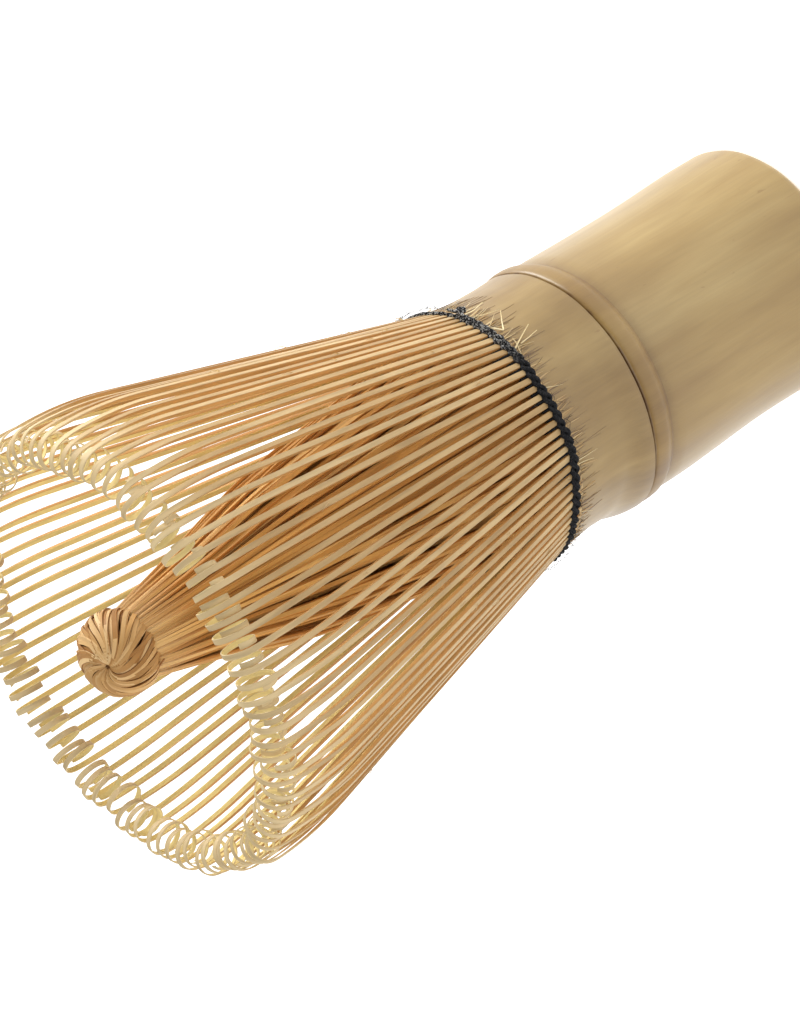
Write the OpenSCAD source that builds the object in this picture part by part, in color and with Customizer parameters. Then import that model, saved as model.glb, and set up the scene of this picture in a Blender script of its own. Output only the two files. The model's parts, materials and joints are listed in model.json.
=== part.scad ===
// Bamboo tea whisk (chasen), standing on the open end of its handle.
// Millimetres, +Z up along the whisk's own axis, origin at the middle of the foot.
// The culm of one bamboo cane is the handle. Above its joint the wall is split into
// fine splints: an outer ring that flares and curls in at the brim, and an inner ring
// that closes to a knot. A black thread is woven between the two rings.

/* [Culm] */
// Outer radius at the middle of the handle
handle_r = 17; // [16.3:0.1:17.2]
// How far the handle flares at its foot
foot_flare = 0.1; // [0:0.05:0.6]
// Outer radius of the handle just under the joint of the cane
handle_top_r = 17.4; // [17.1:0.05:17.5]
// Radius that rounds the rim of the foot
foot_round = 1.4; // [0.5:0.1:2]
// Radius of the hollow inside the handle
hollow_r = 11.8; // [9:0.1:12.5]
// Height of the valley under the ring of the bamboo joint
groove_z = 35.6; // [34:0.1:36.6]
// Height of the top of the ring of the bamboo joint
ring_top_z = 39.5; // [39.1:0.1:41]
// How far that ring stands out from the neck
ring_bulge = 0.65; // [0.5:0.05:1.2]
// Thickness of the wall that closes the cane at its joint
diaphragm_t = 2.4; // [1.5:0.1:3]
// Outer radius of the neck where it is thinnest
neck_r = 17.2; // [17:0.05:17.3]
// Height where the wall of the culm ends and the splints begin
neck_top_z = 50.4; // [49.6:0.1:50.9]

/* [Outer splints] */
// Height of the thread, where the outer splints bend
thread_z = 53.2; // [52.9:0.1:53.5]
// Radius of the outer splints at the thread
outer_root_r = 17.9; // [17.6:0.05:18]
// Lean of the straight part of the outer splints away from the axis, in degrees
outer_lean = 14.3; // [13:0.1:15.5]
// Height where the outer splints begin to turn upright
turn_z = 101.8; // [94:0.1:103.4]
// Lean of the outer splints where the curl begins, in degrees
outer_brim_lean = 1; // [0:0.1:8]
// Height of the brim, the top of the curls
brim_h = 117.8; // [114:0.1:119]
// Radius of the curl at the brim
curl_r = 2.6; // [2.3:0.1:3.2]
// How far the curl has turned at its end, in degrees
curl_turn = 390; // [300:1:400]
// How far the curl winds inside itself over one full turn
curl_draw = 0.7; // [0.6:0.05:0.9]
// Width of one outer splint
outer_w = 0.78; // [0.6:0.02:0.85]
// Thickness of an outer splint at the root
outer_root_t = 0.5; // [0.4:0.02:0.55]
// Thickness of an outer splint at the brim
outer_tip_t = 0.26; // [0.2:0.02:0.4]

/* [Inner splints] */
// Radius of the inner splints where they leave the culm
inner_root_r = 15.6; // [15.5:0.05:15.9]
// Lean of the inner splints towards the axis at the culm, in degrees
inner_root_lean = 4; // [3.5:0.1:4.2]
// Lean of the inner splints towards the axis under the knot, in degrees
inner_top_lean = 15.8; // [15.3:0.1:16]
// Height where the inner splints end against the knot
inner_top_z = 111.4; // [109.2:0.1:111.5]
// Width of one inner splint
inner_w = 0.66; // [0.5:0.02:0.7]
// Thickness of an inner splint
inner_t = 0.4; // [0.3:0.02:0.5]
// Height of the lower bend of the inner bundle
low_bend_z = 57; // [56.8:0.1:58]
// Height of the upper bend of the inner bundle
high_bend_z = 70; // [68:0.1:74]
// Gap left between the splints above and below a bend
bend_gap = 1.5; // [1.4:0.1:2]

/* [Knot and thread] */
// Radius of the knot at the tip of the inner bundle
knot_r = 5.8; // [5.5:0.05:5.9]
// Half of the height of the knot
knot_half_h = 5.2; // [4.9:0.05:5.3]
// Height of the middle of the knot
knot_z = 114.8; // [114.7:0.1:116]
// Height of one round of the thread
thread_h = 0.88; // [0.7:0.02:0.9]
// Thickness of the thread outside the outer splints
thread_t = 0.75; // [0.5:0.05:0.8]
// Gap between the thread and a splint
thread_gap = 0.12; // [0.1:0.01:0.15]
// Width of the thread where it passes between two splints
crossing_w = 0.18; // [0.1:0.01:0.2]

/* [Hidden] */
group_count = 30;
splints_per_group = 3;
inner_count = 45;
outer_count = group_count * splints_per_group;
outer_pitch = 360 / outer_count;
inner_pitch = 360 / inner_count;
turn_steps = 4;
curl_steps = 16;
neck_top_r = neck_r + 0.2;
neck_waist_z = mix(ring_top_z, neck_top_z, 0.6);
neck_hollow_r = inner_root_r - 1.2;
root_gap = 0.2;
groove_depth = 0.3;
groove_h = 0.8;
core_r = 12.2;
thread_in_t = 0.5;
thread_in_h = 3.4;
thread_clear = thread_gap + 0.2;
thread_out_r = outer_root_r + outer_root_t / 2 + thread_clear;
thread_in_r = outer_root_r - outer_root_t / 2 - thread_clear;

// The height at which the blade of an outer splint hands over to its curl.
blade_top_z = brim_h - outer_tip_t / 2 - curl_r * (1 + sin(outer_brim_lean));

outer_names = [for (g = [1 : group_count]) str("outer_splints_", g < 10 ? "0" : "", g)];

// A splint's centre line lies in a plane through the axis. Its lean is the angle of the
// line from the axis, positive outwards. Each sample is [radius, height, lean, thickness].
// An outer splint is straight up to turn_z, then an arc, then the curl. An inner splint is
// one arc all the way.
function arc_bend(z0, z1, lean0, lean1) = (z1 - z0) / (sin(lean0) - sin(lean1));
function lean_at(z, z0, lean0, bend) = asin(sin(lean0) - (z - z0) / bend);
function radius_at(lean, r0, lean0, bend) = r0 + bend * (cos(lean) - cos(lean0));
function mix(a, b, share) = a + (b - a) * share;

turn_r = outer_root_r + (turn_z - thread_z) * tan(outer_lean);
outer_bend = arc_bend(turn_z, blade_top_z, outer_lean, outer_brim_lean);
blade_top_r = radius_at(outer_brim_lean, turn_r, outer_lean, outer_bend);
curl_centre_r = blade_top_r - curl_r * cos(outer_brim_lean);
curl_centre_z = blade_top_z + curl_r * sin(outer_brim_lean);

inner_bend = arc_bend(neck_top_z, inner_top_z, -inner_root_lean, -inner_top_lean);

splint_foot_z = neck_top_z + root_gap;
splint_foot_r = outer_root_r - (thread_z - splint_foot_z) * tan(outer_lean);
turn_t = mix(outer_root_t, outer_tip_t, 0.8);

function turn_sample(share) =
    let (
        z = mix(turn_z, blade_top_z, share),
        lean = lean_at(z, turn_z, outer_lean, outer_bend)
    )
    [
        radius_at(lean, turn_r, outer_lean, outer_bend),
        z,
        lean,
        mix(turn_t, outer_tip_t, share)
    ];

function curl_sample(turn) =
    let (
        lean = outer_brim_lean - turn,
        r = curl_r - curl_draw * turn / 360
    )
    [curl_centre_r + r * cos(lean), curl_centre_z - r * sin(lean), lean, outer_tip_t];

function inner_sample(z) =
    let (lean = lean_at(z, neck_top_z, -inner_root_lean, inner_bend))
    [radius_at(lean, inner_root_r, -inner_root_lean, inner_bend), z, lean, inner_t];

outer_path = concat(
    [[splint_foot_r, splint_foot_z, outer_lean, outer_root_t]],
    [for (i = [0 : turn_steps]) turn_sample(i / turn_steps)],
    [for (i = [1 : curl_steps]) curl_sample(curl_turn * i / curl_steps)]
);

function inner_path(z0, z1, steps) =
    [for (i = [0 : steps]) inner_sample(mix(z0, z1, i / steps))];

// The point on one face of a splint: side is 0.5 for the outer face, -0.5 for the inner.
function face_point(sample, side) = [
    sample[0] + side * sample[3] * cos(sample[2]),
    sample[1] - side * sample[3] * sin(sample[2])
];

// One flat splint of the given width, standing in the XZ plane.
module splint(path, width) {
    last = len(path) - 1;
    outline = concat(
        [for (i = [0 : last]) face_point(path[i], 0.5)],
        [for (i = [last : -1 : 0]) face_point(path[i], -0.5)]
    );
    rotate([90, 0, 0])
        linear_extrude(width, center = true)
            polygon(outline);
}

module inner_ring_of_splints(z0, z1, steps) {
    for (i = [0 : inner_count - 1])
        rotate([0, 0, (i + 0.5) * inner_pitch])
            splint(inner_path(z0, z1, steps), inner_w);
}

module culm_handle() {
    foot_r = handle_r + foot_flare;
    color("#bfae7c")
        difference() {
            rotate_extrude($fn = 96)
                difference() {
                    polygon([
                        [0, 0], [foot_r, 0],
                        [handle_r, groove_z * 0.55], [handle_top_r, groove_z - groove_h],
                        [handle_top_r - groove_depth, groove_z], [0, groove_z]
                    ]);
                    translate([foot_r - foot_round, foot_round])
                        difference() {
                            translate([0, -2 * foot_round])
                                square([2 * foot_round, 2 * foot_round]);
                            circle(foot_round, $fn = 48);
                        }
                }
            translate([0, 0, -1])
                cylinder(r = hollow_r, h = groove_z + 2, $fn = 96);
        }
}

// The swollen ring that every joint of a bamboo cane carries.
module culm_joint_ring() {
    ring_r = neck_r + ring_bulge;
    mid_z = (groove_z + ring_top_z) / 2;
    color("#b9a873")
        rotate_extrude($fn = 96)
            polygon([
                [core_r, groove_z], [handle_top_r - groove_depth, groove_z],
                [ring_r - 0.3, groove_z + groove_h], [ring_r, mid_z],
                [ring_r, ring_top_z - 0.6], [ring_r - 0.3, ring_top_z], [core_r, ring_top_z]
            ]);
}

module culm_diaphragm() {
    color("#d9c79a")
        translate([0, 0, groove_z])
            cylinder(r = core_r - 0.02, h = diaphragm_t, $fn = 96);
}

module culm_neck() {
    color("#c4b27e")
        rotate_extrude($fn = 96)
            polygon([
                [core_r, ring_top_z], [neck_top_r, ring_top_z], [neck_r, neck_waist_z],
                [neck_top_r, neck_top_z], [neck_hollow_r, neck_top_z]
            ]);
}

// A ring with one flat side for each outer splint.
module flat_sided_ring(inside, outside, height) {
    corner = cos(outer_pitch / 2);
    corners = [for (i = [0 : outer_count - 1]) (i + 0.5) * outer_pitch];
    linear_extrude(height)
        difference() {
            polygon([for (a = corners) outside / corner * [cos(a), sin(a)]]);
            polygon([for (a = corners) inside / corner * [cos(a), sin(a)]]);
        }
}

// The thread goes round outside the outer splints twice, is wound in a band inside them,
// and passes between every two of them.
module binding_thread() {
    color("#232325") {
        translate([0, 0, thread_z - thread_h])
            flat_sided_ring(thread_out_r, thread_out_r + thread_t, thread_h);
        translate([0, 0, thread_z])
            flat_sided_ring(thread_out_r, thread_out_r + thread_t - 0.1, thread_h);
        translate([0, 0, thread_z - thread_h / 2])
            flat_sided_ring(thread_in_r - thread_in_t, thread_in_r, thread_in_h);
        for (i = [0 : outer_count - 1])
            rotate([0, 0, (i + 0.5) * outer_pitch])
                translate([thread_in_r - thread_in_t / 2, -crossing_w / 2, thread_z - thread_h / 4])
                    cube([thread_out_r - thread_in_r + thread_in_t, crossing_w, thread_h / 2]);
    }
}

// The two ends of the thread, tied together and laid along the binding.
module thread_end_knot() {
    knot_ball_r = 0.62;
    end_r = 0.32;
    end_length = 3.2;
    color("#2b2b2d")
        rotate([0, 0, -9 * outer_pitch])
            translate([thread_out_r + thread_t + knot_ball_r + 0.05, 0, thread_z]) {
                sphere(r = knot_ball_r, $fn = 32);
                translate([0, 0, knot_ball_r + end_r])
                    rotate([90, 0, 0])
                        cylinder(r = end_r, h = end_length, center = true, $fn = 24);
            }
}

module outer_splints(group) {
    middle = (splints_per_group - 1) / 2;
    color("#e2c793")
        rotate([0, 0, (group - 1) * splints_per_group * outer_pitch])
            for (i = [0 : splints_per_group - 1])
                rotate([0, 0, (i - middle) * outer_pitch])
                    splint(outer_path, outer_w);
}

module inner_splint_roots() {
    color("#c99a5a") inner_ring_of_splints(neck_top_z, low_bend_z - bend_gap / 2, 1);
}

module inner_splints_waist() {
    color("#cfa263")
        inner_ring_of_splints(low_bend_z + bend_gap / 2, high_bend_z - bend_gap / 2, 2);
}

module inner_splints_top() {
    color("#d8b078")
        inner_ring_of_splints(high_bend_z + bend_gap / 2, inner_top_z, 5);
}

// The tips of the inner splints, bent over and turned in to a bun that is a little flat.
module tip_knot() {
    dimple_r = 1.4;
    dimple_tilt = 30;
    sides = 24;
    color("#ddba80")
        translate([0, 0, knot_z])
            difference() {
                rotate_extrude($fn = 96)
                    polygon([
                        for (i = [-sides / 2 : sides / 2])
                            [knot_r * cos(i * 180 / sides), knot_half_h * sin(i * 180 / sides)]
                    ]);
                rotate([dimple_tilt, 0, 0])
                    translate([0, 0, knot_half_h * 1.1])
                        sphere(r = dimple_r, $fn = 32);
            }
}

culm_handle();
culm_joint_ring();
culm_diaphragm();
culm_neck();
binding_thread();
thread_end_knot();
for (g = [1 : group_count])
    outer_splints(g);
inner_splint_roots();
inner_splints_waist();
inner_splints_top();
tip_knot();
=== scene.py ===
import json
import math
import random

import bpy
import numpy as np
from mathutils import Matrix, Vector

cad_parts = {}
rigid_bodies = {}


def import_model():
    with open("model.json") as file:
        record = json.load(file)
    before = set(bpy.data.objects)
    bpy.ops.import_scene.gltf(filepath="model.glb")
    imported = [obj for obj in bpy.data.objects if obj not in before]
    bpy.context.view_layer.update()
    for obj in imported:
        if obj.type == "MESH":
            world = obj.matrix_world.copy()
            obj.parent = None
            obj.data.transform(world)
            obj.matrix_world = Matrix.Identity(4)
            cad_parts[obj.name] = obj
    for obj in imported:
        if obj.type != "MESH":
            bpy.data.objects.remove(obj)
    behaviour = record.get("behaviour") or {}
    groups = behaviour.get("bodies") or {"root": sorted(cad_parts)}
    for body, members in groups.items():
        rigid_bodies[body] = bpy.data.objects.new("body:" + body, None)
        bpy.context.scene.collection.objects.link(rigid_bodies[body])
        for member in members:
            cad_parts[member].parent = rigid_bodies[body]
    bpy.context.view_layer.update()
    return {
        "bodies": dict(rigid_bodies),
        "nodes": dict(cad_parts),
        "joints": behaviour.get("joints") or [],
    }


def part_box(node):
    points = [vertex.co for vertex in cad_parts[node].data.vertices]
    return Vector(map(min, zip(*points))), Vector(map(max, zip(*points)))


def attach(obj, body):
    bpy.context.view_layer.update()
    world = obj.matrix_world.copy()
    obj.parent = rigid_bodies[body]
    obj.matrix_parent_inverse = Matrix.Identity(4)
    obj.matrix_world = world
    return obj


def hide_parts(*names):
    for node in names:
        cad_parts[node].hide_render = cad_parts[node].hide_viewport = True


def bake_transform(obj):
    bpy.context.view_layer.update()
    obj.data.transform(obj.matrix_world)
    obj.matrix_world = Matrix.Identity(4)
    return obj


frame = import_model()

# Sizes in this script are in millimetres. They turn into metres where a mesh is made.
MM = 0.001
TAU = 2 * math.pi

joints = {joint["name"]: joint for joint in frame["joints"]}
outer_bodies = sorted(name for name in frame["bodies"] if name.startswith("outer_group_"))
outer_nodes = sorted(name for name in frame["nodes"] if name.startswith("outer_splints_"))


def low_high(node, axis):
    """The lowest and the highest coordinate of a CAD node along one axis, in millimetres."""
    low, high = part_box(node)
    return low[axis] / MM, high[axis] / MM


def angle_of(node):
    """The angle about the whisk's axis at which a CAD node sits."""
    low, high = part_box(node)
    return math.atan2(low[1] + high[1], low[0] + high[0])


brim_z = low_high("outer_splints_01", 2)[1]
thread_low = low_high("binding_thread", 2)[0]
handle_top = low_high("culm_handle", 2)[1]
handle_r = low_high("culm_handle", 0)[1]
ring_top = low_high("culm_joint_ring", 2)[1]
ring_r = low_high("culm_joint_ring", 0)[1]
neck_top = low_high("culm_neck", 2)[1]
inner_root_r = low_high("inner_splint_roots", 0)[1]
knot_low, knot_high = low_high("tip_knot", 2)
knot_r = low_high("tip_knot", 0)[1]
hinge = joints["outer_flex_01"]["pos_m"]
hinge_r = math.hypot(hinge[0], hinge[1]) / MM
hinge_z = hinge[2] / MM
low_bend_z = joints["inner_sway_low"]["pos_m"][2] / MM
high_bend_z = joints["inner_sway_high"]["pos_m"][2] / MM
thread_end = angle_of("thread_end_knot")

SPLINTS_PER_GROUP = 3
OUTER_COUNT = SPLINTS_PER_GROUP * len(outer_bodies)
PITCH = TAU / OUTER_COUNT
HOLLOW_R = 11.8
# Points of the cane that are nearer the axis than this are on its inside, which stays round.
INSIDE_R = HOLLOW_R + 0.65


# ---------------------------------------------------------------- meshes

# Across a ribbon: half widths and half thicknesses of a flat strip with small chamfers.
RIBBON = np.array([
    (-0.5, -0.36), (-0.45, -0.5), (0.45, -0.5), (0.5, -0.36),
    (0.5, 0.36), (0.45, 0.5), (-0.45, 0.5), (-0.5, 0.36),
])


def round_section(sides):
    turns = np.arange(sides) * TAU / sides
    return np.stack([np.cos(turns), np.sin(turns)], axis=1) * 0.5


class Strands:
    """Collects strands that share one mesh. Each has a section swept along its own line."""

    def __init__(self, section=RIBBON):
        self.section = section
        self.verts, self.faces, self.uvs = [], [], []
        self.tints, self.edges, self.insides = [], [], []
        self.count = 0

    def add(self, points, wide, thick, widths, thicknesses, tint, start=0.0):
        """points, wide and thick are (n, 3) arrays; tint is this strand's own shade, 0 to 1."""
        points = np.asarray(points, float)
        rows, sides = len(points), len(self.section)
        across = self.section[None, :, 0, None] * (wide * np.reshape(widths, (-1, 1)))[:, None]
        through = self.section[None, :, 1, None] * (thick * np.reshape(thicknesses, (-1, 1)))[:, None]
        self.verts.append((points[:, None] + across + through).reshape(-1, 3))
        steps = np.linalg.norm(np.diff(points, axis=0), axis=1)
        along = start + np.concatenate([[0.0], np.cumsum(steps)])
        mean_width = float(np.mean(widths))
        for i in range(rows - 1):
            for k in range(sides):
                a = self.count + i * sides + k
                b = self.count + i * sides + (k + 1) % sides
                self.faces.append((a, b, b + sides, a + sides))
                u0, u1 = 2.4 * mean_width * k / sides, 2.4 * mean_width * (k + 1) / sides
                self.uvs += [(u0, along[i]), (u1, along[i]), (u1, along[i + 1]), (u0, along[i + 1])]
        for row, order in ((0, -1), (rows - 1, 1)):
            ring = [self.count + row * sides + k for k in range(sides)]
            self.faces.append(tuple(ring[::order]))
            ends = [(mean_width * (0.5 + x), along[row]) for x in self.section[:, 0]]
            self.uvs += ends[::order]
        self.tints += [tint] * (rows * sides)
        self.edges += [1.0 if abs(x) > 0.49 else 0.0 for x in self.section[:, 0]] * rows
        self.insides += [1.0 if y < 0 else 0.0 for y in self.section[:, 1]] * rows
        self.count += rows * sides

    def build(self, name, material, sharp=32):
        piece = make_mesh(
            name, np.concatenate(self.verts), self.faces, material, uvs=self.uvs,
            values={"tint": self.tints, "edge": self.edges, "inside": self.insides},
        )
        piece.data.set_sharp_from_angle(angle=math.radians(sharp))
        return piece


def make_mesh(name, verts, faces, material, uvs=None, values=None):
    """A smooth mesh object from points in millimetres, with a UV map and point values if given."""
    mesh = bpy.data.meshes.new(name)
    mesh.from_pydata((np.asarray(verts) * MM).tolist(), [], faces)
    if uvs is not None:
        layer = mesh.uv_layers.new(name="grain")
        layer.data.foreach_set("uv", np.asarray(uvs, float).ravel())
    for key, numbers in (values or {}).items():
        attribute = mesh.attributes.new(key, "FLOAT", "POINT")
        attribute.data.foreach_set("value", np.asarray(numbers, float))
    mesh.polygons.foreach_set("use_smooth", [True] * len(mesh.polygons))
    mesh.materials.append(material)
    mesh.update()
    piece = bpy.data.objects.new(name, mesh)
    bpy.context.collection.objects.link(piece)
    return piece


def add_values(piece, key, numbers):
    """Gives a mesh one more number for each of its points."""
    attribute = piece.data.attributes.get(key) or piece.data.attributes.new(key, "FLOAT", "POINT")
    attribute.data.foreach_set("value", np.asarray(numbers, float))


def join_pieces(first, *others):
    """Makes one object of several, which keeps the name of the first."""
    bpy.ops.object.select_all(action="DESELECT")
    for piece in (first, *others):
        piece.select_set(True)
    bpy.context.view_layer.objects.active = first
    bpy.ops.object.join()
    return first


def radial(angle):
    return np.array([math.cos(angle), math.sin(angle), 0.0])


def tangent(angle):
    return np.array([-math.sin(angle), math.cos(angle), 0.0])


def mix(a, b, share):
    return a + (b - a) * share


def smooth_step(x, start, end):
    share = min(1.0, max(0.0, (x - start) / (end - start)))
    return share * share * (3 - 2 * share)


# ---------------------------------------------------------------- materials


class Recipe:
    """A material under construction: short names for the nodes that it uses."""

    def __init__(self, name, roughness=0.5, specular=0.4):
        self.material = bpy.data.materials.new(name)
        self.material.use_nodes = True
        self.tree = self.material.node_tree
        self.shader = self.tree.nodes["Principled BSDF"]
        self.shader.inputs["Roughness"].default_value = roughness
        self.shader.inputs["Specular IOR Level"].default_value = specular

    def node(self, kind, **settings):
        made = self.tree.nodes.new(kind)
        for key, value in settings.items():
            setattr(made, key, value)
        return made

    def feed(self, value, socket):
        if isinstance(value, bpy.types.NodeSocket):
            self.tree.links.new(value, socket)
        else:
            socket.default_value = value

    def place(self, scale, source="Object"):
        """Coordinates in millimetres, times scale. source is Object, or the UV map's name."""
        if source == "Object":
            out = self.node("ShaderNodeTexCoord").outputs["Object"]
            scale = [value / MM for value in scale]
        else:
            out = self.node("ShaderNodeUVMap", uv_map=source).outputs["UV"]
        mapping = self.node("ShaderNodeMapping")
        self.feed(out, mapping.inputs["Vector"])
        mapping.inputs["Scale"].default_value = scale
        return mapping.outputs["Vector"]

    def value(self, name):
        return self.node("ShaderNodeAttribute", attribute_name=name).outputs["Fac"]

    def shift(self, vector, amount, step):
        """Moves a strand's own grain away from its neighbours'."""
        scaled = self.math("MULTIPLY", amount, step)
        combined = self.node("ShaderNodeCombineXYZ")
        self.feed(scaled, combined.inputs["Z"])
        add = self.node("ShaderNodeVectorMath", operation="ADD")
        self.feed(vector, add.inputs[0])
        self.feed(combined.outputs[0], add.inputs[1])
        return add.outputs[0]

    def noise(self, vector, detail):
        made = self.node("ShaderNodeTexNoise")
        self.feed(vector, made.inputs["Vector"])
        made.inputs["Scale"].default_value = 1.0
        made.inputs["Detail"].default_value = detail
        made.inputs["Roughness"].default_value = 0.55
        return made.outputs["Fac"]

    def ramp(self, fac, stops):
        made = self.node("ShaderNodeValToRGB")
        points = made.color_ramp.elements
        while len(points) < len(stops):
            points.new(0.5)
        for point, (where, colour) in zip(points, stops):
            point.position = where
            point.color = colour if isinstance(colour, tuple) else (colour, colour, colour, 1)
        self.feed(fac, made.inputs["Fac"])
        return made.outputs["Color"]

    def math(self, operation, a, b):
        made = self.node("ShaderNodeMath", operation=operation)
        self.feed(a, made.inputs[0])
        self.feed(b, made.inputs[1])
        return made.outputs[0]

    def blend(self, fac, a, b, mode="MIX"):
        made = self.node("ShaderNodeMix", data_type="RGBA", blend_type=mode)
        self.feed(fac, made.inputs["Factor"])
        self.feed(a, made.inputs["A"])
        self.feed(b, made.inputs["B"])
        return made.outputs["Result"]

    def finish(self, colour, bump=None, bump_mm=0.0):
        self.feed(colour, self.shader.inputs["Base Color"])
        if bump is not None:
            made = self.node("ShaderNodeBump")
            made.inputs["Distance"].default_value = bump_mm * MM
            self.feed(bump, made.inputs["Height"])
            self.feed(made.outputs["Normal"], self.shader.inputs["Normal"])
        return self.material


def rgb(red, green, blue):
    """A colour given as it looks on screen, 0 to 255, in the linear values that nodes use."""
    def linear(c):
        c /= 255
        return c / 12.92 if c <= 0.04045 else ((c + 0.055) / 1.055) ** 2.4
    return (linear(red), linear(green), linear(blue), 1.0)


def cane_material(name, dark, middle, light, roughness=0.28, stained=0.25):
    """The satin skin of the cane: broad soft streaks, fine grain along it, a few blemishes.

    A point's dark value, 0 to 1, browns it: in the crack at the joint and in stains, which are real,
    and as painted shade in the valley under the joint ring, below the ring, under the thread and in the
    splits down the neck."""
    r = Recipe(name, roughness, specular=0.65)
    fine = r.noise(r.place((3.2, 3.2, 0.10)), detail=5)
    broad = r.noise(r.place((0.18, 0.18, 0.022)), detail=3)
    blotch = r.noise(r.place((0.14, 0.14, 0.05)), detail=3)
    speck = r.noise(r.place((1.1, 1.1, 0.45)), detail=2)
    scratch = r.noise(r.place((6.0, 6.0, 0.22)), detail=1)
    body = r.ramp(broad, [(0.30, dark), (0.5, middle), (0.70, light)])
    body = r.blend(0.6, body, r.ramp(fine, [(0.3, 0.88), (0.6, 1.0)]), "MULTIPLY")
    stain = r.ramp(blotch, [(0.3, rgb(204, 186, 148)), (0.66, rgb(255, 255, 255))])
    body = r.blend(stained, body, stain, "MULTIPLY")
    spots = r.ramp(speck, [(0.72, 0.0), (0.78, 1.0)])
    body = r.blend(r.math("MULTIPLY", spots, 0.35), body, rgb(120, 84, 46))
    lines = r.ramp(scratch, [(0.70, 0.0), (0.76, 1.0)])
    body = r.blend(r.math("MULTIPLY", lines, 0.3), body, rgb(150, 112, 66))
    # Browns the real crack and stains, and paints shade in the valley under the ring, below it, under
    # the thread and in the neck's splits.
    body = r.blend(r.value("dark"), body, rgb(84, 50, 24))
    return r.finish(body, fine, 0.012)


def splint_material(name, dark, middle, light, side, pith_and_glow, root):
    """Shaved bamboo: long fibres, each splint its own tone, with painted shade that makes it redder
    on its narrow sides, yellower on the side that faces the axis, for that side's own colour
    and painted light shining through, and paler in the curl as painted light."""
    r = Recipe(name, 0.55, specular=0.25)
    tint = r.value("tint")
    fibre = r.noise(r.shift(r.place((3.6, 0.12, 1.0), "grain"), tint, 60.0), detail=4)
    slow = r.noise(r.shift(r.place((0.25, 0.045, 1.0), "grain"), tint, 25.0), detail=2)
    split = r.node("ShaderNodeSeparateXYZ")
    r.feed(r.place((1.0, 0.01, 1.0), "grain"), split.inputs[0])
    curl = r.ramp(split.outputs["Y"], [(0.56, 0.0), (0.68, 1.0)])
    shade = r.math("ADD", r.math("MULTIPLY", slow, 0.6), r.math("MULTIPLY", tint, 0.4))
    body = r.ramp(shade, [(0.28, dark), (0.5, middle), (0.72, light)])
    # The side that faces the axis has its own paler colour, raised as painted light shining through the
    # thin strips.
    body = r.blend(r.math("MULTIPLY", r.value("inside"), 0.85), body, pith_and_glow)
    # Painted shade: the narrow sides take the redder side colour, and in the curl a paler one as
    # painted light.
    edge = r.blend(curl, side, rgb(208, 188, 148))
    body = r.blend(r.math("MULTIPLY", r.value("edge"), 0.85), body, edge)
    # Painted light: the curl is made paler, for the light from above that falls on it.
    body = r.blend(r.math("MULTIPLY", curl, 0.4), body, rgb(240, 222, 176))
    streak = r.ramp(fibre, [(0.34, 0.72), (0.56, 1.0)])
    body = r.blend(0.75, body, streak, "MULTIPLY")
    # The dark value browns the real burnt scar on one outer splint, and as painted shade the core of
    # the knot.
    body = r.blend(r.value("dark"), body, root)
    return r.finish(body, fibre, 0.02)


def thread_material():
    """Black cotton thread: fine twisted fibres, with grey ones that catch the light."""
    r = Recipe("black_cotton", 0.9, specular=0.12)
    twist = r.node("ShaderNodeTexWave", wave_type="BANDS", bands_direction="DIAGONAL")
    r.feed(r.place((2.2, 2.2, 1.0), "grain"), twist.inputs["Vector"])
    twist.inputs["Scale"].default_value = 1.6
    twist.inputs["Distortion"].default_value = 4.0
    fleck = r.noise(r.place((4.0, 4.0, 4.0)), detail=2)
    lumps = r.noise(r.place((2.2, 2.2, 2.2)), detail=4)
    body = r.ramp(twist.outputs["Fac"], [(0.1, rgb(24, 24, 26)), (0.9, rgb(58, 58, 61))])
    flecks = r.ramp(fleck, [(0.52, 0.0), (0.58, 1.0)])
    body = r.blend(r.math("MULTIPLY", flecks, r.value("worn")), body, rgb(222, 220, 214))
    height = r.math("ADD", r.math("MULTIPLY", twist.outputs["Fac"], 0.5), lumps)
    return r.finish(body, height, 0.25)


def floor_material():
    r = Recipe("studio_white", 0.9, specular=0.0)
    speck = r.noise(r.place((0.02, 0.02, 0.02)), detail=2)
    body = r.ramp(speck, [(0.0, rgb(250, 250, 250)), (1.0, rgb(255, 255, 255))])
    r.shader.inputs["Emission Color"].default_value = (1, 1, 1, 1)
    r.shader.inputs["Emission Strength"].default_value = 0.55
    return r.finish(body)


SKIN = cane_material("cane_skin", rgb(150, 121, 68), rgb(162, 134, 79), rgb(176, 150, 96))
NECK = cane_material(
    "cane_neck_skin", rgb(134, 107, 57), rgb(152, 124, 70), rgb(172, 145, 90),
    roughness=0.34, stained=0.5)
JOINT = cane_material(
    "cane_joint", rgb(124, 93, 42), rgb(140, 109, 52), rgb(156, 126, 68),
    roughness=0.4, stained=0.4)
CUT = cane_material("cane_cut", rgb(214, 190, 138), rgb(228, 208, 160), rgb(240, 226, 188), 0.7)
# In each splint material the fourth colour is painted shade on the narrow sides, the fifth the colour
# of the side that faces the axis, its own paler colour raised by painted light shining through, and the
# sixth browns the scar and, on the knot, painted shade.
OUTER = splint_material(
    "outer_splint", rgb(172, 140, 94), rgb(187, 156, 109), rgb(200, 173, 127),
    rgb(196, 140, 76), rgb(255, 236, 158), rgb(30, 18, 10))
INNER = splint_material(
    "inner_splint", rgb(190, 131, 62), rgb(210, 155, 82), rgb(228, 182, 112),
    rgb(200, 135, 66), rgb(222, 167, 92), rgb(120, 74, 32))
KNOT = splint_material(
    "knot_strand", rgb(166, 116, 62), rgb(204, 158, 98), rgb(238, 204, 150),
    rgb(140, 90, 44), rgb(186, 138, 80), rgb(84, 48, 20))
THREAD = thread_material()


# ---------------------------------------------------------------- the cane

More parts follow.
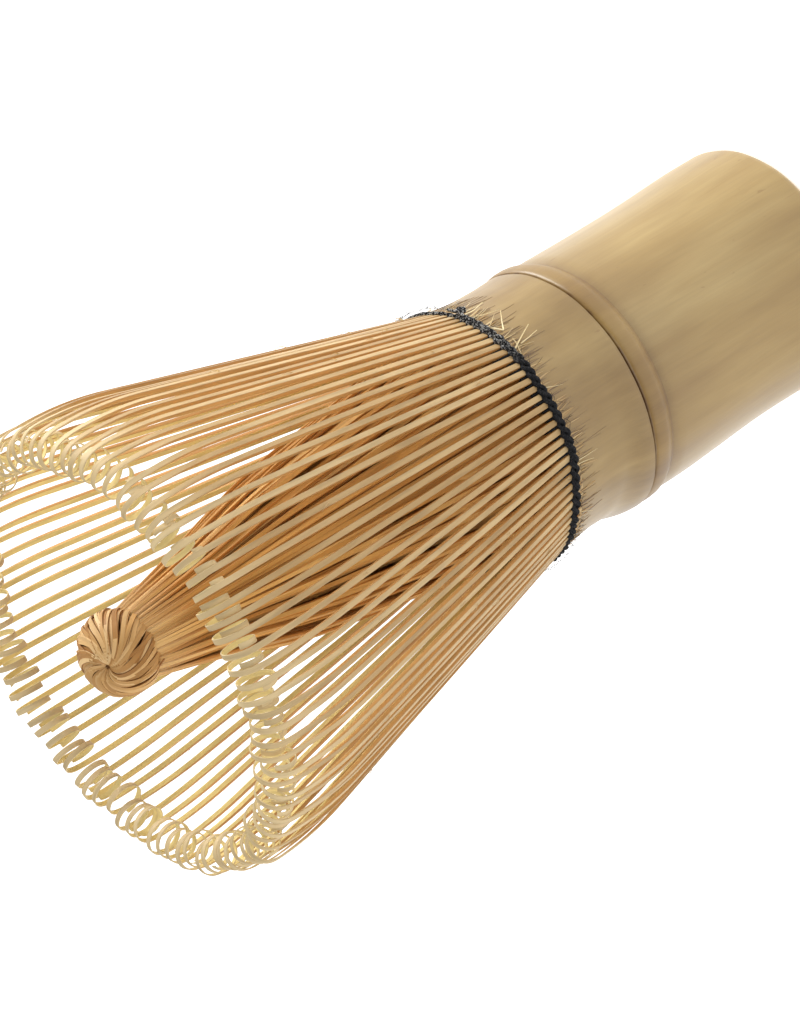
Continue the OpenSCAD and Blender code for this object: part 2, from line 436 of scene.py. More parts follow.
def lathe(name, profile, material, steps=360, dark=None, bend=None):
    """Turns a closed profile of (radius, height) points about the axis.

    dark(angle, radius, height) and bend(angle, radius, height) give a point's darkness and
    how far it moves outwards."""
    rows = len(profile)
    verts, shades = [], []
    for i in range(steps):
        angle = TAU * i / steps
        for r, z in profile:
            out = r + (bend(angle, r, z) if bend else 0.0)
            verts.append((out * math.cos(angle), out * math.sin(angle), z - joint_dip(angle, r, z)))
            shades.append(dark(angle, r, z) if dark else 0.0)
    faces = []
    for i in range(steps):
        j = (i + 1) % steps
        for k in range(rows):
            m = (k + 1) % rows
            faces.append((i * rows + k, j * rows + k, j * rows + m, i * rows + m))
    piece = make_mesh(name, verts, faces, material, values={"dark": shades})
    piece.data.set_sharp_from_angle(angle=math.radians(50))
    return piece


def arc_points(centre, radius, start, end, steps):
    return [
        (centre[0] + radius * math.cos(math.radians(mix(start, end, i / steps))),
         centre[1] + radius * math.sin(math.radians(mix(start, end, i / steps))))
        for i in range(steps + 1)
    ]


def wobble(angle, r, z):
    """A cane is never quite round or straight: its foot swells and leans a little to +X."""
    if r < INSIDE_R:
        return 0.0
    aside = 0.65 - 0.9 * smooth_step(z, 4.0, 34.0) + 0.25 * smooth_step(z, ring_top, ring_top + 5.0)
    swell = 0.15 * (1 - smooth_step(z, 4.0, 20.0))
    waves = 0.10 * math.sin(2 * angle + 0.6) + 0.05 * math.sin(5 * angle + 0.03 * z)
    return aside * math.cos(angle) + swell + waves + 0.03 * math.sin(13 * angle + 1.7)


def joint_dip(angle, r, z):
    """The joint runs a little lower on the -X side of the cane, as joints often do."""
    if r < INSIDE_R:
        return 0.0
    near = smooth_step(z, handle_top - 12.0, handle_top)
    near *= 1 - smooth_step(z, ring_top, ring_top + 6.0)
    return 0.6 * near * smooth_step(-math.cos(angle), 0.75, 1.0)


def broken(angle):
    """How dark the crack along the joint is: it comes and goes on its way round."""
    wave = math.sin(3 * angle + 1.0) + 0.7 * math.sin(7 * angle + 2.0)
    wave += 0.9 * math.sin(31 * angle) + 0.6 * math.sin(53 * angle + 1.0)
    return 0.2 + 0.8 * smooth_step(wave, -1.2, 1.4)


def build_handle():
    foot_round = 1.5
    outer = handle_r - 0.05
    profile = [(HOLLOW_R, 0.6), (HOLLOW_R + 0.6, 0.0)]
    foot, waist = handle_r - 0.35, handle_r - 0.42
    profile += [(mix(HOLLOW_R + 0.6, foot - foot_round, i / 4), 0.0) for i in range(1, 4)]
    profile += arc_points((foot - foot_round, foot_round), foot_round, -90, 0, 8)
    for i in range(1, 31):
        z = mix(foot_round, handle_top, i / 30)
        r = mix(foot, waist, smooth_step(z, 0.0, 14.0))
        r += (outer - waist) * smooth_step(z, 13.0, handle_top - 1.2)
        r -= 0.28 * smooth_step(z, handle_top - 1.3, handle_top)
        profile.append((r, z))
    profile.append((HOLLOW_R, handle_top))

    def shade(angle, r, z):
        if r < HOLLOW_R + 1:
            return 0.0
        # Painted shade in the valley under the joint ring; below it a band that is partly a painted
        # shadow of the ring and partly a real stain.
        groove_shade = 0.2 * smooth_step(z, handle_top - 1.4, handle_top - 0.1)
        return groove_shade + 0.16 * smooth_step(z, handle_top - 12.0, handle_top - 1.0)

    piece = lathe("cane_handle", profile, SKIN, dark=shade, bend=wobble)
    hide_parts("culm_handle")
    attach(piece, "culm")


def build_joint_ring():
    inner = HOLLOW_R + 0.4
    low, high = handle_top, ring_top
    valley = handle_r - 0.33
    profile = [
        (inner, low), (valley, low), (valley + 0.04, low + 0.25), (valley + 0.2, low + 0.6),
        (ring_r - 0.22, low + 1.1), (ring_r - 0.08, low + 1.6), (ring_r - 0.02, low + 2.2),
        (ring_r - 0.03, high - 1.0), (ring_r - 0.1, high - 0.55), (ring_r - 0.2, high - 0.3),
        (ring_r - 0.32, high - 0.16), (ring_r - 0.55, high - 0.06), (ring_r - 0.75, high),
        (inner, high),
    ]

    def shade(angle, r, z):
        if r < HOLLOW_R + 1:
            return 0.0
        valley_shade = 0.32 * (1 - smooth_step(z, low, low + 0.7))
        return valley_shade + 0.9 * smooth_step(z, high - 0.26, high - 0.1) * broken(angle)

    piece = lathe("cane_joint_ring", profile, JOINT, dark=shade, bend=wobble)
    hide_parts("culm_joint_ring")
    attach(piece, "culm")


def build_diaphragm():
    """The wall that closes the cane is dished and rough."""
    low, high = low_high("culm_diaphragm", 2)
    radius = low_high("culm_diaphragm", 0)[1] - 0.02
    steps = 14
    profile = [(0.01, low + 0.55)]
    profile += [(radius * i / steps, low + 0.55 * (1 - (i / steps) ** 3)) for i in range(1, steps + 1)]
    profile += [(radius * i / steps, high - 0.4 * (1 - (i / steps) ** 2)) for i in range(steps, 0, -1)]
    profile += [(0.01, high - 0.4)]

    def ripple(angle, r, z):
        return 0.05 * math.sin(9 * angle + r) if 1 < r < radius - 1 else 0.0

    piece = lathe("cane_diaphragm", profile, CUT, steps=120, bend=ripple)
    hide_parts("culm_diaphragm")
    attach(piece, "culm")


def thread_rise(angle):
    """How far the thread sits above its usual height: it was tied a little unevenly."""
    return 1.2 * smooth_step(-math.cos(angle), 0.3, 0.85) + 0.8 * smooth_step(math.cos(angle), 0.8, 1.0)


def neck_surface(z):
    """The radius of the neck at a height: a shallow waist between the joint and the thread."""
    r = mix(ring_r - 0.3, ring_r - 0.66, smooth_step(z, ring_top, ring_top + 4.5))
    return r + 0.45 * smooth_step(z, neck_top - 4.0, thread_low + 0.3)


def build_neck():
    """The neck of the cane, frayed by the many cuts that part the splints above it."""
    top = hinge_z + 0.5
    rows = 36
    inner = HOLLOW_R + 0.4
    profile = [(inner, ring_top), (ring_r - 0.75, ring_top), (ring_r - 0.5, ring_top + 0.06)]
    profile += [(neck_surface(z), z) for z in np.linspace(ring_top + 0.16, top, rows)]
    profile += [(14.6, top), (14.4, neck_top - 0.5)]

    def shade(angle, r, z):
        if r < 16:
            return 0.0
        line = 0.6 * (1 - smooth_step(z, ring_top, ring_top + 0.25)) * broken(angle)
        stain = 0.12 * (1 - smooth_step(z, ring_top, ring_top + 5.0))
        # The last term is painted shade where the neck runs in under the thread.
        return line + stain + 0.35 * smooth_step(z, top - 1.0, top)

    def bulge(angle, r, z):
        low = 1 - smooth_step(z, ring_top + 1.0, ring_top + 5.0)
        one_side = smooth_step(-math.cos(angle), 0.3, 1.0)
        return wobble(angle, r, z) + (0.35 * low * one_side if r > 16 else 0.0)

    cane = lathe("cane_neck", profile, NECK, dark=shade, bend=bulge)
    piece = join_pieces(cane, build_neck_slit_shadows(), build_neck_spikes(), build_neck_slivers())
    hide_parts("culm_neck")
    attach(piece, "culm")


def surface_strand(strands, rng, angle, z_low, z_high, width, lift, lean):
    """A thin strip on the neck from under the thread down to z_low, tapered to its end."""
    count = 9
    points, wide, thick, widths = [], [], [], []
    kink = rng.gauss(0, 0.25)
    for i in range(count):
        share = i / (count - 1)
        z = mix(z_high, z_low, share)
        aside = lean * (z_high - z) + kink * math.sin(math.pi * share) * 0.12
        here = angle + aside / hinge_r
        r = neck_surface(z) + wobble(here, 17.0, z) + 0.005 + lift * share ** 2
        points.append(radial(here) * r + np.array([0, 0, z]))
        wide.append(tangent(here))
        thick.append(radial(here))
        widths.append(width * (1 - 0.9 * share))
    strands.add(points, np.array(wide), np.array(thick), widths, [0.05] * count, rng.random())


def build_neck_slit_shadows():
    """Painted shade: fine dark strips for the shadow in the splits that run down the cane from every
    cut, each as long as it pleases.
    """
    rng = random.Random(31)
    strands = Strands()
    for index in range(OUTER_COUNT):
        middle = PITCH * (index + 0.5)
        deep = 1.0 + 0.9 * max(0.0, math.cos(middle + 0.35)) ** 4
        for k in range(5):
            angle = middle + rng.gauss(0, 0.28) * PITCH
            length = abs(rng.gauss(1.9, 1.3)) * deep + 0.7
            width = rng.uniform(0.08, 0.2) * (1.3 if k == 0 else 0.8)
            start = thread_low + 0.4 + thread_rise(angle)
            low = start - min(length, 7.0)
            surface_strand(strands, rng, angle, low, start, width, 0.0, rng.gauss(0.03, 0.05))
    piece = strands.build("neck_slit_shadows", NECK)
    # The dark value browns every strip as painted shade in its split.
    add_values(piece, "dark", [0.35 + 0.5 * tint for tint in strands.tints])
    return piece


def build_neck_spikes():
    """Short golden points that stand off the cane between the cuts."""
    rng = random.Random(41)
    strands = Strands()
    for index in range(OUTER_COUNT * 2):
        angle = PITCH * (index / 2 + 0.25) + rng.gauss(0, 0.2) * PITCH
        start = thread_low + 0.3 + thread_rise(angle)
        length = abs(rng.gauss(1.3, 0.8)) + 0.6
        surface_strand(
            strands, rng, angle, start - min(length, 3.6), start, rng.uniform(0.18, 0.38),
            rng.uniform(0.05, 0.4), rng.gauss(0.03, 0.12))
    return strands.build("neck_spikes", OUTER)


# The slivers that stand out most: (angle, height over the thread, lift off the cane), width.
BIG_SLIVERS = (
    (((-52.5, -0.3, 1.2), (-55.8, -1.4, 1.0), (-51.0, -2.6, 0.8), (-44.5, -4.3, 0.7)), 0.24),
    (((-65.0, -0.8, 0.3), (-61.5, -3.0, 0.5), (-58.4, -5.1, 0.8)), 0.22),
    (((-64.0, -2.2, 0.3), (-63.2, -4.0, 0.4), (-62.6, -5.4, 0.7)), 0.16),
    (((-69.0, -1.0, 0.1), (-64.0, -1.6, 0.3), (-60.0, -1.9, 0.3)), 0.12),
    (((-33.0, -0.6, 0.1), (-34.0, -2.6, 0.2), (-33.0, -4.4, 0.6)), 0.22),
)


def build_neck_slivers():
    """Pale slivers that have lifted off the cane beside the thread."""
    rng = random.Random(12)
    strands = Strands()
    for index in range(40):
        angle = rng.gauss(-0.45, 0.3) if index % 2 else rng.uniform(-math.pi, math.pi)
        start = thread_low + 0.2 + thread_rise(angle)
        surface_strand(
            strands, rng, angle, start - rng.uniform(1.5, 4.2), start, rng.uniform(0.1, 0.24),
            rng.uniform(0.15, 0.9), rng.gauss(0.0, 0.35))
    for stops, width in BIG_SLIVERS:
        corners = []
        for turn, rise, lift in stops:
            z = hinge_z + rise
            out = radial(math.radians(turn))
            corners.append(out * (neck_surface(z) + lift) + np.array([0, 0, z]))
        corners = np.array(corners)
        count = len(stops) * 4
        spots = np.linspace(0, len(stops) - 1, count)
        line = np.stack(
            [np.interp(spots, range(len(stops)), corners[:, k]) for k in range(3)], axis=1)
        widths = np.linspace(width, 0.08, count)
        swept(strands, line, line * np.array([1.0, 1.0, 0.0]), widths, [0.1] * count, 0.9)
    return strands.build("neck_slivers", CUT)


# ---------------------------------------------------------------- outer splints

OUTER_LEAN = math.radians(14.0)
ROOT_R = hinge_r - 0.25
TURN_Z = hinge_z + 48.6
TURN_BEND = (math.sin(OUTER_LEAN) - math.sin(math.radians(-2))) / (brim_z - 2.8 - TURN_Z)
# The splint with the burnt scar, and how far up it the scar is.
SCAR_SPLINT = 67
SCAR_HEIGHT = 23.3
# The side on which the brim is a little lower.
LOW_SIDE = math.radians(165)


def outer_line(rng, angle):
    """One outer splint's line in the plane of the axis: straight, then a bend, then a curl."""
    root_z = thread_low + 0.1
    lean = OUTER_LEAN + math.radians(rng.gauss(0, 0.25))
    bow = math.radians(rng.gauss(0, 0.5))
    curl_first, curl_last = rng.uniform(2.35, 2.8), rng.uniform(1.8, 2.2)
    turn_end = math.radians(rng.uniform(350, 440))
    top = brim_z - abs(rng.gauss(0, 0.35)) - 0.1
    top -= 1.2 * max(0.0, math.cos(angle - LOW_SIDE)) ** 2
    lead_in = rng.uniform(2.5, 5.0)
    turn_start = (TURN_Z - root_z) / math.cos(OUTER_LEAN) + rng.gauss(0, 1.0)
    step = 0.3

    def trace(blade_length):
        r = ROOT_R - (hinge_z - root_z) * math.tan(OUTER_LEAN)
        z, now, length, curled = root_z, lean + bow, 0.0, 0.0
        points = [(r, z, now, 0.0, 0.0)]
        while curled < turn_end:
            if length < blade_length:
                bend = TURN_BEND if length > turn_start else 2 * bow / turn_start
            else:
                into = min(1.0, (length - blade_length) / lead_in)
                radius = mix(curl_first, curl_last, min(1.0, curled / TAU))
                bend = mix(TURN_BEND, 1 / radius, into * into)
                curled += bend * step
            now -= bend * step
            r += math.sin(now) * step
            z += math.cos(now) * step
            length += step
            points.append((r, z, now, length, curled))
        return points

    blade_length = 60.0
    for _ in range(3):
        points = trace(blade_length)
        blade_length += top - max(p[1] for p in points)
    points = trace(blade_length)
    kept = [p for i, p in enumerate(points) if p[4] > 0 or i % 6 == 0]
    return kept, points[-1][3], turn_end


def add_outer_splint(strands, index, rng):
    angle = PITCH * index
    line, total, turn_end = outer_line(rng, angle)
    drift = rng.gauss(0, 0.2)
    sway = rng.gauss(0, 0.1)
    helix = (1 if rng.random() < 0.9 else -1) * rng.uniform(0.5, 0.95)
    twist_blade = math.radians(rng.gauss(0, 4))
    twist_curl = math.radians(rng.gauss(0, 6))
    out, side = radial(angle), tangent(angle)
    points, wide, thick, widths, thicknesses = [], [], [], [], []
    for r, z, lean, length, curled in line:
        share = length / total
        aside = drift * share * share + sway * math.sin(math.pi * share)
        aside += helix * curled / TAU
        along = out * math.sin(lean) + np.array([0, 0, math.cos(lean)])
        facing = out * math.cos(lean) - np.array([0, 0, math.sin(lean)])
        twist = twist_blade * share + twist_curl * min(1.0, curled)
        across = side * math.cos(twist) + facing * math.sin(twist)
        facing = facing * math.cos(twist) - side * math.sin(twist)
        points.append(out * r + side * aside + np.array([0, 0, z]))
        wide.append(across)
        thick.append(facing)
        widths.append(mix(0.80, 0.76, smooth_step(share, 0.0, 0.75)))
        thicknesses.append(np.interp(share, [0, 0.4, 0.62, 0.8, 1], [0.62, 0.66, 0.58, 0.2, 0.14]))
    strands.add(points, np.array(wide), np.array(thick), widths, thicknesses, rng.random())
    for _ in range(rng.choice((0, 0, 1, 1, 2))):
        add_burr(strands, points, rng)


def add_burr(strands, points, rng):
    """A hair of bamboo that stands off a splint, curled back on itself."""
    base = np.array(points[rng.randrange(2, len(points) // 3)])
    angle = math.atan2(base[1], base[0])
    out, side, up = radial(angle), tangent(angle), np.array([0.0, 0.0, 1.0])
    reach, aside, size = rng.uniform(0.3, 0.8), rng.gauss(0, 0.4), rng.uniform(0.8, 2.4)
    line = np.array([
        base + out * (0.22 + reach * math.sin(2.4 * s)) + up * size * s + side * aside * s * s
        for s in np.linspace(0, 1, 8)
    ])
    swept(strands, line, np.tile(out, (8, 1)) + side, np.linspace(0.11, 0.03, 8), [0.05] * 8, 0.95)


def swept(strands, points, facing, widths, thicknesses, tint, start=0.0):
    """Adds a strand whose flat face looks along facing as nearly as its line allows."""
    tangents = np.gradient(points, axis=0)
    tangents /= np.linalg.norm(tangents, axis=1, keepdims=True)
    facing = facing - tangents * np.sum(facing * tangents, axis=1, keepdims=True)
    facing /= np.linalg.norm(facing, axis=1, keepdims=True)
    strands.add(points, np.cross(tangents, facing), facing, widths, thicknesses, tint, start)


def add_scar(strands, angle, height):
    """The dark scar on one splint: a short burnt patch that lies on its outer face."""
    out = radial(angle) * math.cos(OUTER_LEAN) - np.array([0, 0, math.sin(OUTER_LEAN)])
    along = radial(angle) * math.sin(OUTER_LEAN) + np.array([0, 0, math.cos(OUTER_LEAN)])
    foot = radial(angle) * ROOT_R + np.array([0, 0, hinge_z])
    line = np.array([foot + along * (height + s) + out * 0.28 for s in np.linspace(-0.45, 0.45, 7)])
    swept(strands, line, np.tile(out, (7, 1)), [0.1, 0.36, 0.5, 0.42, 0.5, 0.3, 0.1], [0.1] * 7, -1.0)


def build_outer_splints():
    rng = random.Random(7)
    for group, (body, node) in enumerate(zip(outer_bodies, outer_nodes)):
        strands = Strands()
        for i in range(SPLINTS_PER_GROUP):
            index = group * SPLINTS_PER_GROUP + i - 1
            add_outer_splint(strands, index, rng)
            if index == SCAR_SPLINT:
                add_scar(strands, PITCH * index, SCAR_HEIGHT)
        piece = strands.build(f"outer_ribbons_{group + 1:02d}", OUTER)
        add_values(piece, "dark", [1.0 if tint < 0 else 0.0 for tint in strands.tints])
        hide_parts(node)
        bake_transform(piece)


# ---------------------------------------------------------------- inner splints and knot

INNER_COUNT = 320
GOLDEN_SHARE = (math.sqrt(5) - 1) / 2
SEAM_Z = (low_bend_z + high_bend_z) / 2
KNOT_ASIDE = np.array([0.5, 0.0, 0.0])
KNOT_MIDDLE = KNOT_ASIDE + np.array([0.0, 0.0, (knot_low + knot_high) / 2 + 0.3])
KNOT_SIZE = np.array([knot_r, knot_r, (knot_high - knot_low) / 2])
JOIN_Z = knot_low + 2.9
KNOT_POLE = np.array([-0.18, -0.47, 0.86]) / np.linalg.norm([-0.18, -0.47, 0.86])


def bundle_r(z):
    """The radius of the outside of the inner bundle at a height."""
    lean0, lean1 = math.radians(-4), math.radians(-15.8)
    bend = (knot_low + 2.0 - neck_top) / (math.sin(lean0) - math.sin(lean1))
    lean = math.asin(math.sin(lean0) - (z - neck_top) / bend)
    r = inner_root_r + 0.1 + bend * (math.cos(lean) - math.cos(lean0))
    r -= 0.55 * smooth_step(z, knot_low - 21.0, knot_low - 8.0)
    return r + 0.35 * smooth_step(z, knot_low - 7.0, JOIN_Z)


def inner_line(rng, index, layer):
    """Points of one inner splint from its root up the bundle to where the knot begins."""
    start = TAU * (index * GOLDEN_SHARE + rng.gauss(0, 0.004))
    turn = rng.gauss(0.0, 0.06)
    wave, phase = rng.uniform(0.1, 0.5), rng.uniform(0, TAU)
    depth = layer * rng.uniform(0.7, 1.5)
    points = []
    z = neck_top + 0.3
    while z < JOIN_Z + 0.8:
        share = (z - neck_top) / (JOIN_Z - neck_top)
        r = bundle_r(z) - depth * (0.35 + 1.5 * math.sin(math.pi * min(1, share * 1.03)) ** 0.7)
        r += wave * math.sin(phase + share * 9) * math.sin(math.pi * min(1, share))
        angle = start + turn * share
        points.append(radial(angle) * r + KNOT_ASIDE * share * share + np.array([0, 0, z]))
        z += 1.6
    return np.array(points)


def add_inner_splint(lower, upper, rng, index, layer):
    points = inner_line(rng, index, layer)
    tint = rng.random()
    last = len(points) - 1
    rows = np.arange(last + 1)
    facing = points * np.array([1.0, 1.0, 0.0])
    twist = rng.gauss(0, 0.35) * rows / last
    cos, sin = np.cos(twist)[:, None], np.sin(twist)[:, None]
    turned = np.stack([-facing[:, 1], facing[:, 0], 0 * facing[:, 2]], axis=1)
    facing = facing * cos + turned * sin
    broad = 1.8 if layer > 1.2 else 1.0
    widths = np.interp(rows, [0, last * 0.6, last], [0.72 * broad, 0.6 * broad, 0.36])
    thicknesses = np.interp(rows, [0, last], [0.42, 0.26])
    seam = int(np.argmax(points[:, 2] > SEAM_Z))
    for strands, a, b in ((lower, 0, seam + 1), (upper, seam, last + 1)):
        swept(strands, points[a:b], facing[a:b], widths[a:b], thicknesses[a:b], tint, a * 1.6)


def knot_point(direction, height):
    """A point on the knot's surface in a direction from its middle, raised by height."""
    on_ball = direction * KNOT_SIZE
    return KNOT_MIDDLE + on_ball * (1 + height / np.linalg.norm(on_ball))


def knot_direction(front, side, polar, around):
    """The direction that lies polar away from the dimple, on the side given by around."""
    level = front * math.cos(around) + side * math.sin(around)
    return KNOT_POLE * math.cos(polar) + level * math.sin(polar)


def add_knot_strand(strands, rng, start, level):
    """A flat strand from under the knot, over its side and spun in to the dimple."""
    side = np.cross(KNOT_POLE, [0.0, 0.0, 1.0])
    side /= np.linalg.norm(side)
    front = np.cross(side, KNOT_POLE)
    full = 0.5
    while knot_direction(front, side, full, start)[2] > -0.8 and full < 3.0:
        full += 0.02
    spin_full = 1.2 + 0.5 * math.cos(start - 0.9) + rng.gauss(0, 0.3)
    bulge = rng.uniform(-0.15, 0.15)
    steps = 32
    points, facing = [], []
    for i in range(steps + 1):
        share = i / steps
        polar = mix(full, 0.10, share)
        spin = start - spin_full * share ** 2.4
        direction = knot_direction(front, side, polar, spin)
        slant = np.cross(direction, knot_direction(front, side, polar + 0.05, spin))
        height = -0.3 - 0.24 * level - 1.3 * math.exp(-(polar / 0.2) ** 2)
        height += bulge * math.sin(math.pi * min(1.0, share * 1.4))
        height -= 0.7 * (1 - smooth_step(share, 0.0, 0.14))
        points.append(knot_point(direction, height))
        facing.append(direction + slant * 5.0 * math.sin(math.pi * share))
    width = rng.uniform(0.45, 0.72)
    widths = np.interp(np.arange(steps + 1), [0, 6, steps * 0.8, steps], [0.5, width, width, 0.3])
    swept(strands, np.array(points), np.array(facing), widths, [0.26] * (steps + 1), rng.random())


def add_stray_end(strands):
    """The one loose tip that stands off the knot."""
    down = np.array([0.3, -0.55, -0.45])
    base = knot_point(np.array([-0.78, -0.5, -0.36]), -0.3)
    points = np.array([base + down * step for step in np.linspace(0, 2.4, 7)])
    swept(strands, points, points - KNOT_MIDDLE, [0.22] * 7, [0.2] * 7, 0.0)


def build_inner_splints():
    rng = random.Random(23)
    lower, upper, knot = Strands(), Strands(), Strands()
    for i in range(INNER_COUNT):
        add_inner_splint(lower, upper, rng, i, (0.0, 0.3, 0.6, 1.0, 1.5)[i % 5])
    for level, count in ((2, 50), (1, 50), (0, 50)):
        for i in range(count):
            add_knot_strand(knot, rng, TAU * (i + rng.uniform(-0.4, 0.4)) / count, level)
    add_stray_end(knot)
    roots = lower.build("inner_ribbons_low", INNER)
    tops = upper.build("inner_ribbons_high", INNER)
    ball = join_pieces(knot.build("tip_knot_strands", KNOT), build_knot_core())
    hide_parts("inner_splint_roots", "inner_splints_waist")
    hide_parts("inner_splints_top")
    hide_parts("tip_knot")

    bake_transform(roots)
    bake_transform(tops)
    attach(ball, "inner_top")


def build_knot_core():
    """What shows in the gaps between the knot's strands: a ball of the same strands, darkened as
    painted shade.
    """
    under = 1.5
    steps = 16
    profile = []
    for i in range(steps + 1):
        lift = math.radians(mix(-86, 89.5, i / steps))
        z = KNOT_MIDDLE[2] + (KNOT_SIZE[2] - under) * math.sin(lift)
        profile.append(((knot_r - under) * math.cos(lift), z))
    # Its dark value of 0.6 is painted shade for the strands deep in the knot.
    core = lathe("knot_core", profile, KNOT, steps=48, dark=lambda a, r, z: 0.6)
    core.data.transform(Matrix.Translation(Vector(KNOT_ASIDE) * MM))
    return core


# ---------------------------------------------------------------- thread

def thread_strand(strands, rng, centre, reach, size, ply, half_turns):
    """One ply of a cord that runs round the whisk.

    centre and reach are (radius, height) functions of the angle: where the cord runs and
    how far this ply swings about that. The ply makes half_turns half turns in a full round."""
    steps = 900
    points, sizes = [], []
    for i in range(steps + 1):
        angle = TAU * (i / steps)
        wave = half_turns * angle / 2 + ply
        r = centre(angle)[0] + reach(angle)[0] * math.cos(wave)
        z = centre(angle)[1] + reach(angle)[1] * math.sin(wave)
        points.append(radial(angle) * r + np.array([0, 0, z]))
        sizes.append(size(angle) * (1 + 0.07 * math.sin(9 * angle + ply)))
    points = np.array(points)
    swept(strands, points, points * np.array([1.0, 1.0, 0.0]), sizes, sizes, rng.random())


def loose_share(angle):
    """1 where the cord is only one thin round, beside the end knot; 0 where it is doubled."""
    after = (angle - thread_end) % TAU
    return smooth_step(after, 0.0, 0.05) * (1 - smooth_step(after, 0.9, 1.1))


def build_thread():
    rng = random.Random(5)
    strands = Strands(round_section(8))
    out = ROOT_R + 0.48

    def centre(angle):
        loose = loose_share(angle)
        wander = 0.07 * math.sin(7 * angle) + 0.05 * math.sin(17 * angle + 1)
        rise = thread_rise(angle)
        tight = 0.12 * loose + 0.3 * smooth_step(-math.cos(angle), 0.75, 1.0)
        return out - tight + rise * math.tan(OUTER_LEAN), hinge_z + wander + 0.1 * loose + rise

    def reach(angle):
        loose = loose_share(angle)
        return mix(0.17, 0.14, loose), mix(0.38 + 0.05 * math.sin(23 * angle), 0.2, loose)

    def size(angle):
        lump = 0.08 * math.sin(37 * angle + 2) + 0.05 * math.sin(61 * angle)
        return mix(0.72 + lump, 0.46, loose_share(angle))

    for ply in (0.0, math.pi):
        thread_strand(strands, rng, centre, reach, size, ply, OUTER_COUNT)
    for row, height in enumerate(np.linspace(hinge_z - 0.6, hinge_z + 0.9, 4)):
        r = ROOT_R - 0.62 + max(0.0, height - hinge_z) * 0.08
        thread_strand(
            strands, rng, lambda a, r=r, h=height: (r, h), lambda a: (0.06, 0.08), lambda a: 0.62,
            row, 31)
    weave = strands.build("thread_weave", THREAD, 80)
    add_values(weave, "worn", worn_values(weave))
    knot, fuzz, wedges = build_thread_knot(), build_thread_fuzz(), build_thread_wedges()
    piece = join_pieces(weave, knot, fuzz, wedges)
    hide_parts("binding_thread", "thread_end_knot")
    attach(piece, "culm")


def build_thread_knot():
    """The tied end of the thread: a small overhand knot with two cut tails."""
    rng = random.Random(3)
    strands = Strands(round_section(8))
    out, side, up = radial(thread_end), tangent(thread_end), np.array([0.0, 0.0, 1.0])
    middle = out * (hinge_r + 1.25) + up * hinge_z
    count = 49
    loop = np.array([
        middle + out * 0.16 * math.cos(1.5 * t) + side * 0.42 * math.cos(t) + up * 0.5 * math.sin(t)
        for t in np.linspace(0, 2 * TAU, count)
    ])
    swept(strands, loop, loop - middle + out * 3, [0.5] * count, [0.5] * count, rng.random())
    for sign in (-1, 1):
        tail = []
        for s in np.linspace(0, 1, 9):
            aside, rise = sign * (0.4 + 1.5 * s), 0.5 + 0.35 * s - 0.25 * s * s
            tail.append(middle + side * aside + up * rise - out * 0.1 * s)
        tail = np.array(tail)
        swept(strands, tail, tail * np.array([1.0, 1.0, 0.0]), [0.4] * 9, [0.4] * 9, rng.random())
    knot = strands.build("thread_knot", THREAD, 80)
    add_values(knot, "worn", worn_values(knot))
    return knot


def worn_values(piece):
    """The thread is grey and worn beside its end knot, and black elsewhere."""
    values = []
    middle = thread_end + 0.1
    for vertex in piece.data.vertices:
        angle = math.atan2(vertex.co.y, vertex.co.x)
        away = abs((angle - middle + math.pi) % TAU - math.pi)
        values.append(0.03 + 0.8 * (1 - smooth_step(away, 0.35, 0.8)))
    return values


def build_thread_fuzz():
    """Short loose fibres all round the thread."""
    rng = random.Random(17)
    strands = Strands(round_section(3))
    for _ in range(420):
        angle = rng.uniform(0, TAU)
        out, side, up = radial(angle), tangent(angle), np.array([0.0, 0.0, 1.0])
        loose = loose_share(angle)
        rise = thread_rise(angle)
        base = out * (ROOT_R + 1.0 + rise * math.tan(OUTER_LEAN))
        base = base + up * (hinge_z + rise + rng.uniform(-0.7, 0.7) * mix(1, 0.4, loose))
        way = out * rng.uniform(0.1, 0.5) + side * rng.gauss(0, 0.5) + up * rng.gauss(0, 0.6)
        bend = side * rng.gauss(0, 0.3)
        line = np.array([base + way * t + bend * t * t for t in np.linspace(0, 1, 5)])
        swept(strands, line, np.tile(out + 0.1 * up, (5, 1)), [0.05] * 5, [0.05] * 5, rng.random())
    fuzz = strands.build("thread_fuzz", THREAD, 80)
    add_values(fuzz, "worn", worn_values(fuzz))
    return fuzz


def build_thread_wedges():
    """Where the thread dips between two splints it fills the gap with a black wedge: thread at its
    foot, and painted shadow in the gap above the thread.
    """
    rng = random.Random(29)
    strands = Strands()
    for index in range(OUTER_COUNT):
        angle = PITCH * (index + 0.5)
        length = rng.uniform(1.3, 3.2)
        line, widths = [], []
        for share in np.linspace(0, 1, 6):
            height = mix(-0.4, 0.55 + length, share) + thread_rise(angle)
            r = ROOT_R + height * math.tan(OUTER_LEAN) + mix(0.05, -0.25, share)
            line.append(radial(angle) * r + np.array([0, 0, hinge_z + height]))
            widths.append(mix(0.46, 0.04, share ** 0.7))
        line = np.array(line)
        swept(strands, line, line * np.array([1.0, 1.0, 0.0]), widths, [0.5] * 6, rng.random())
    # The wedges are black thread where they start and painted shadow for the rest of their length.
    wedges = strands.build("thread_wedges", THREAD)
    add_values(wedges, "worn", [0.0] * len(wedges.data.vertices))
    return wedges


# ---------------------------------------------------------------- studio

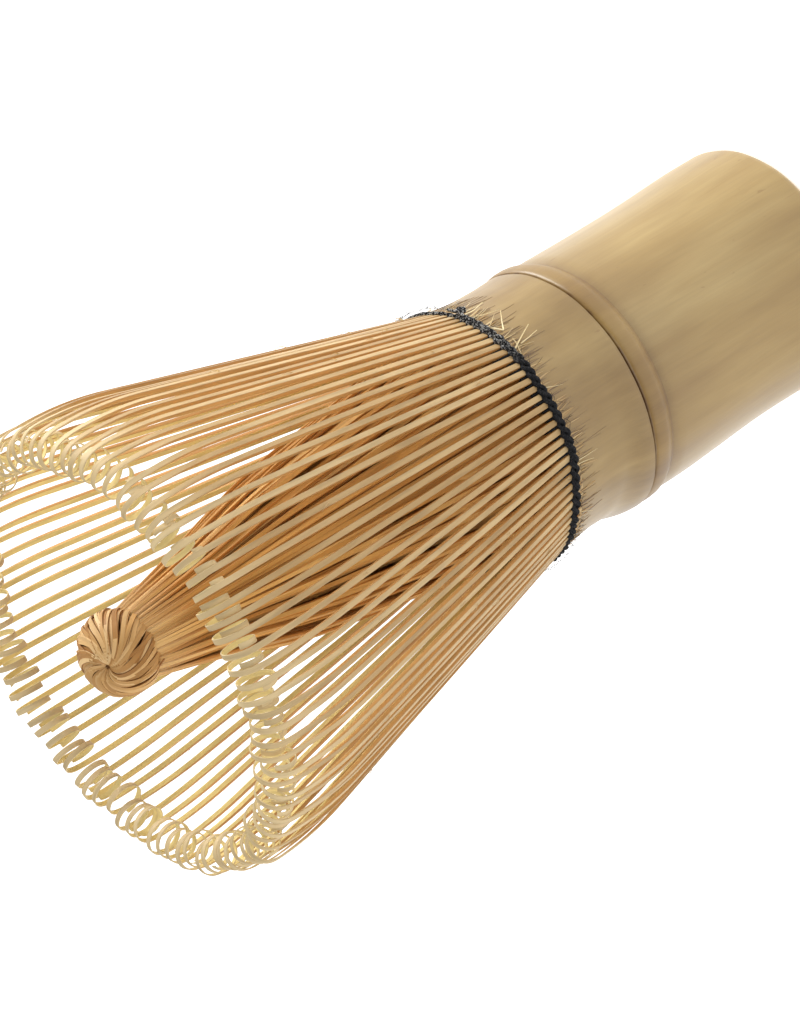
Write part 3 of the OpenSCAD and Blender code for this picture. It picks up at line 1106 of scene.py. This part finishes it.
def build_studio():
    bpy.ops.mesh.primitive_plane_add(size=6, location=(0, 0, 0))
    floor = bpy.context.object
    floor.name = "studio_floor"
    floor.data.materials.append(floor_material())
    world = bpy.data.worlds.new("studio")
    world.use_nodes = True
    background = world.node_tree.nodes["Background"]
    background.inputs["Color"].default_value = (1, 1, 1, 1)
    background.inputs["Strength"].default_value = 0.4
    bpy.context.scene.world = world
    add_light("key", (1.0, 0.2, 0.22), 0.5, 13)
    add_light("rim", (-0.8, 0.1, 0.7), 0.6, 3.8)
    add_light("top", (-0.1, -0.8, 1.3), 0.9, 5.0)


def add_light(name, place, size, power):
    data = bpy.data.lights.new(name, "AREA")
    data.size = size
    data.energy = power
    light = bpy.data.objects.new(name, data)
    light.location = place
    target = Vector((0, 0, 0.06))
    light.rotation_euler = (target - Vector(place)).to_track_quat("-Z", "Y").to_euler()
    bpy.context.collection.objects.link(light)


def build_camera():
    """Looks down into the brim, rolled so that the whisk points to the lower left."""
    elevation, roll = math.radians(30.5), math.radians(-121.2)
    away = Vector((0, -math.cos(elevation), math.sin(elevation)))
    level = Vector((1, 0, 0))
    rise = away.cross(level)
    right = math.cos(roll) * level + math.sin(roll) * rise
    up = -math.sin(roll) * level + math.cos(roll) * rise
    lens, sensor, view_height = 174.6, 36, 134.0
    distance = lens / sensor * view_height
    aim = Vector((0, 0, hinge_z - 2)) - 12.43 * right - 10.6 * up
    data = bpy.data.cameras.new("camera")
    data.lens = lens
    data.sensor_fit = "AUTO"
    data.clip_end = 50
    camera = bpy.data.objects.new("camera", data)
    bpy.context.collection.objects.link(camera)
    camera.matrix_world = Matrix((
        (right[0], up[0], away[0], (aim[0] + away[0] * distance) * MM),
        (right[1], up[1], away[1], (aim[1] + away[1] * distance) * MM),
        (right[2], up[2], away[2], (aim[2] + away[2] * distance) * MM),
        (0, 0, 0, 1),
    ))
    bpy.context.scene.camera = camera
    bpy.context.scene.view_settings.view_transform = "Standard"


build_camera()
build_studio()
build_handle()
build_joint_ring()
build_diaphragm()
build_neck()
build_outer_splints()
build_inner_splints()
build_thread()
